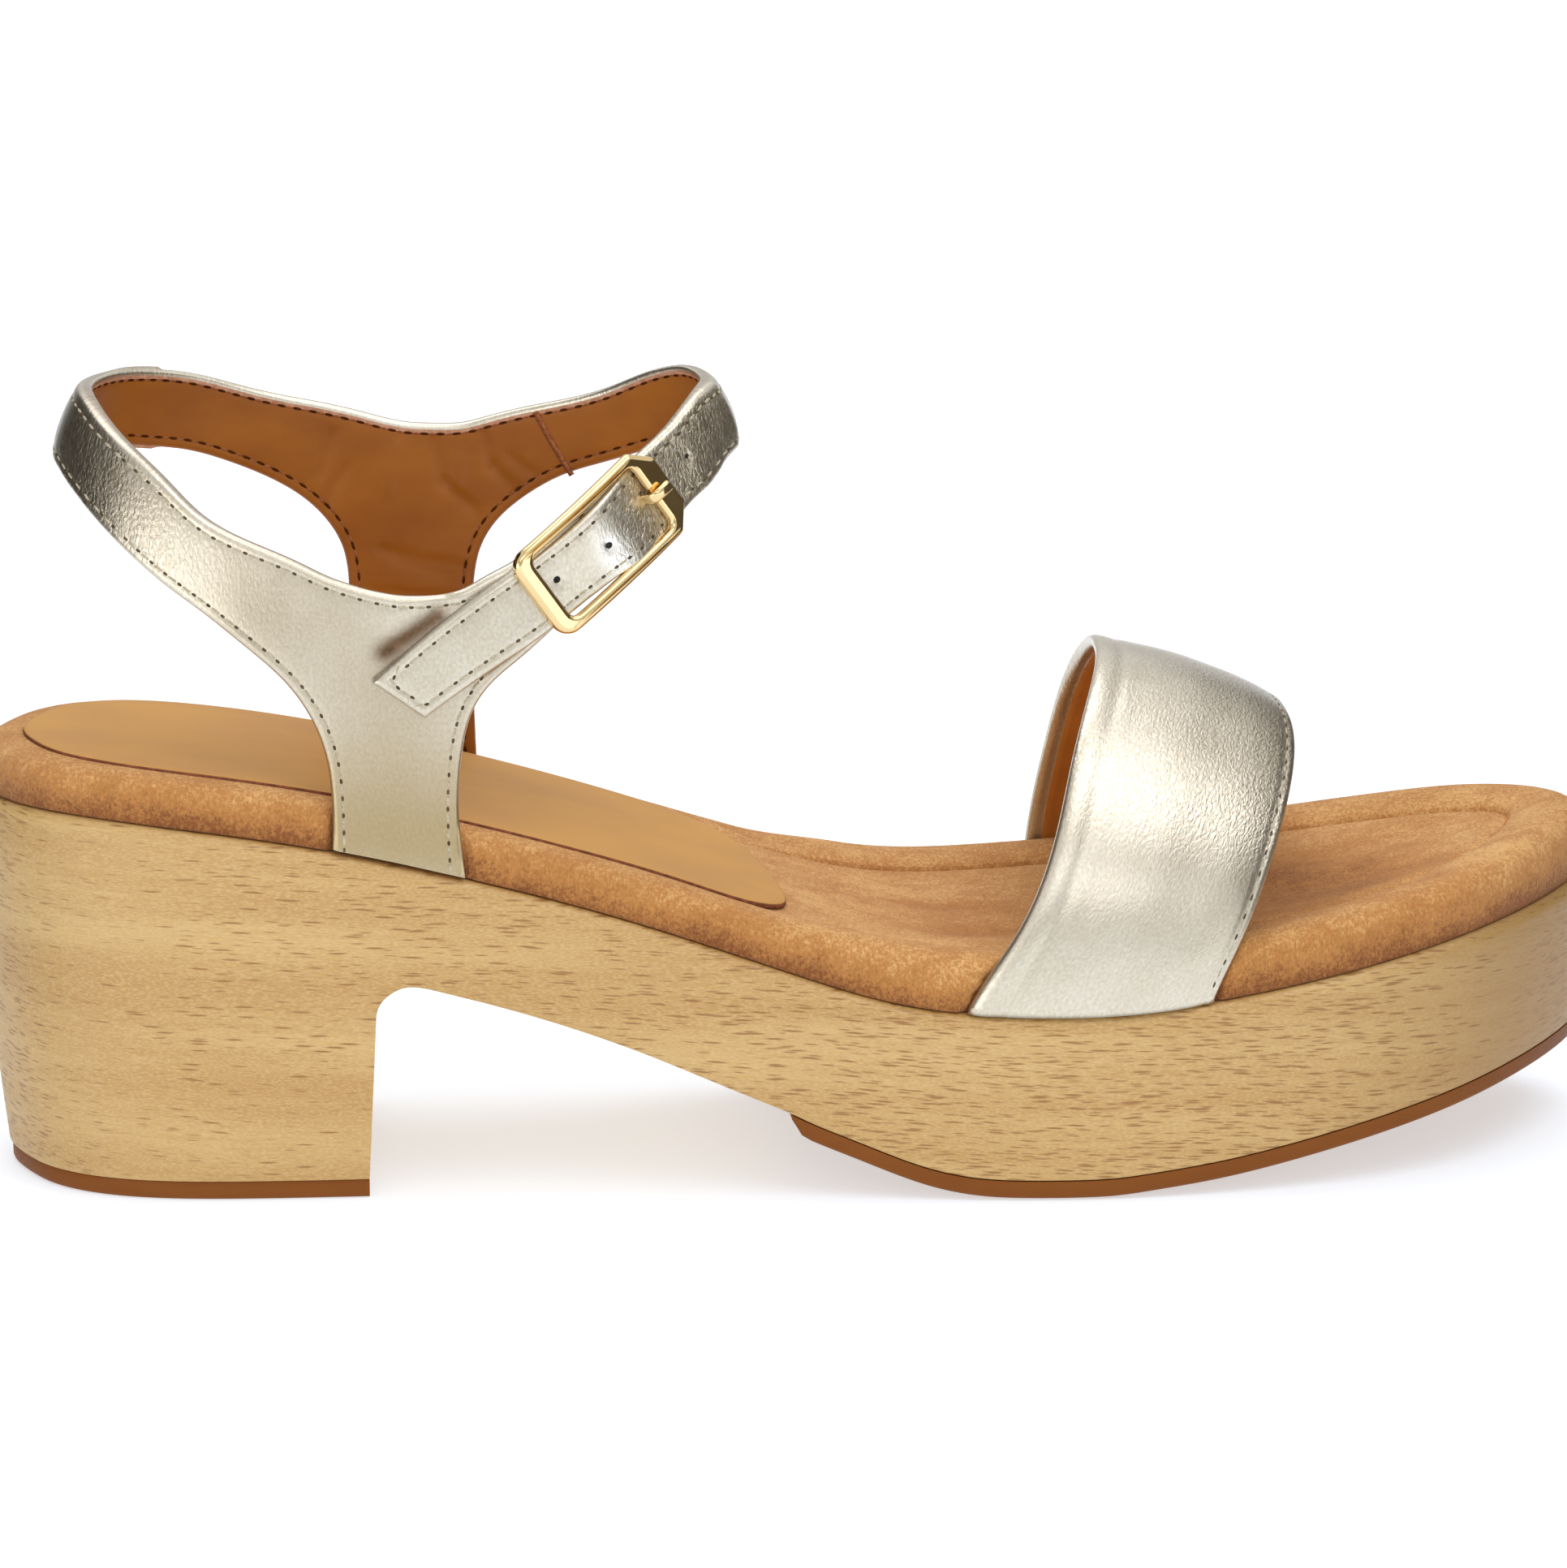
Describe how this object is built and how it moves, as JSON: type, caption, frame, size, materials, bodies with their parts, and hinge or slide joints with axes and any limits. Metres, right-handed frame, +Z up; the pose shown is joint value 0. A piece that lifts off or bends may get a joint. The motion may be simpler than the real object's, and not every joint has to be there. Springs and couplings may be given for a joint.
{
  "type": "platform sandal",
  "caption": "Right-foot platform sandal: beech block sole with heel, suede footbed, padded toe band and metallic leather ankle strap with a gold buckle.",
  "frame": {"origin": "middle of the bounding box, on the floor", "axes": "+X from heel to toe, +Y to the inner side of the foot, +Z up"},
  "size_m": [0.249, 0.0827, 0.1182],
  "materials": {
    "beech": "satin lacquer",
    "rubber": "satin",
    "suede": "napped",
    "pad_leather": "smooth matt",
    "metallic_leather": "metallic foil, fine grain",
    "gold": "polished"
  },
  "bodies": {
    "root": {"platform": "beech", "outsole": "rubber", "heel_lift": "rubber", "footbed": "suede", "heel_pad": "pad_leather", "ankle_upper": "metallic_leather", "toe_strap": "metallic_leather", "buckle_frame": "gold", "buckle_prong": "gold"}
  },
  "joints": []
}
